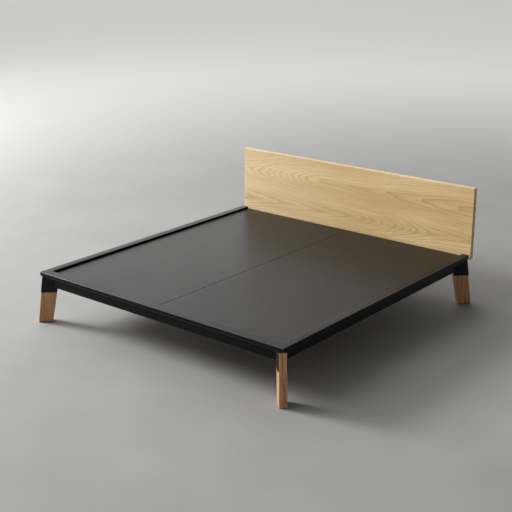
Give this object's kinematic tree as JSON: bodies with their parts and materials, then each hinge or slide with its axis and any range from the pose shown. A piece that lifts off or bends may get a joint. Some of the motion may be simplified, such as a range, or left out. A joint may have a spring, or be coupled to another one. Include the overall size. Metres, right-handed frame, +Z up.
{
  "type": "platform bed frame",
  "caption": "Low platform bed frame: black deck recessed in a raised rim, splayed oak blade legs held in steel corner brackets, and an upright oak headboard.",
  "frame": {"origin": "middle of the outer box, on the floor", "axes": "+X to the right seen from the foot, +Y from the foot to the head, +Z up"},
  "size_m": [2.1144, 2.2122, 0.822],
  "materials": {
    "black_lacquer": "satin black lacquer on hardwood rails",
    "deck_black": "fine-textured satin black board",
    "black_steel": "black powder coat",
    "leg_oak": "oiled solid oak, eased edges",
    "headboard_oak": "matt lacquered light oak with cathedral grain",
    "pine": "planed, unfinished",
    "nylon": "moulded black nylon",
    "zinc_steel": "bright zinc plate",
    "black_fastener": "black oxide",
    "insert_zinc": "yellow zinc plate"
  },
  "bodies": {
    "frame": {"rim_foot": "black_lacquer", "rim_left": "black_lacquer", "rim_right": "black_lacquer", "apron_foot": "black_lacquer", "apron_left": "black_lacquer", "apron_right": "black_lacquer", "apron_head": "black_lacquer", "bracket_foot_left": "black_steel", "bracket_foot_right": "black_steel", "bracket_head_left": "black_steel", "bracket_head_right": "black_steel", "leg_foot_left": "leg_oak", "leg_foot_right": "leg_oak", "leg_head_left": "leg_oak", "leg_head_right": "leg_oak", "glide_foot_left": "nylon", "glide_foot_right": "nylon", "glide_head_left": "nylon", "glide_head_right": "nylon", "leg_bolts": "black_fastener", "leg_sleeve_nuts": "black_fastener", "corner_screws": "black_fastener", "rail_bolts": "zinc_steel", "rail_inserts": "insert_zinc", "apron_screws": "zinc_steel", "centre_beam": "pine", "beam_hanger_foot": "zinc_steel", "beam_hanger_head": "zinc_steel", "hanger_screws": "zinc_steel", "centre_leg_front": "black_steel", "centre_leg_rear": "black_steel", "centre_leg_screws": "zinc_steel", "centre_leg_plug_front": "nylon", "centre_leg_plug_rear": "nylon", "side_ledger_left": "pine", "side_ledger_right": "pine", "beam_ledger_left": "pine", "beam_ledger_right": "pine", "ledger_screws": "zinc_steel", "bearer_left_1": "pine", "bearer_left_2": "pine", "bearer_left_3": "pine", "bearer_left_4": "pine", "bearer_left_5": "pine", "bearer_right_1": "pine", "bearer_right_2": "pine", "bearer_right_3": "pine", "bearer_right_4": "pine", "bearer_right_5": "pine", "bearer_screws": "zinc_steel", "headboard": "headboard_oak", "headboard_bracket_left": "black_steel", "headboard_bracket_right": "black_steel", "headboard_screws": "zinc_steel", "headboard_bolts": "zinc_steel", "headboard_nuts": "zinc_steel"},
    "deck_panel_left": {"deck_left": "deck_black"},
    "deck_panel_right": {"deck_right": "deck_black"},
    "level_foot_front": {"centre_foot_front": "nylon"},
    "level_foot_rear": {"centre_foot_rear": "nylon"}
  },
  "joints": [
    {"name": "deck_left_lift", "type": "slide", "parent": "frame", "child": "deck_panel_left", "axis": [0, 0, 1], "range_m": [0, 0.3]},
    {"name": "deck_right_lift", "type": "slide", "parent": "frame", "child": "deck_panel_right", "axis": [0, 0, 1], "range_m": [0, 0.3]},
    {"name": "front_foot_level", "type": "slide", "parent": "frame", "child": "level_foot_front", "axis": [0, 0, 1], "range_m": [-0.02, 0.012]},
    {"name": "rear_foot_level", "type": "slide", "parent": "frame", "child": "level_foot_rear", "axis": [0, 0, 1], "range_m": [-0.02, 0.012]}
  ]
}
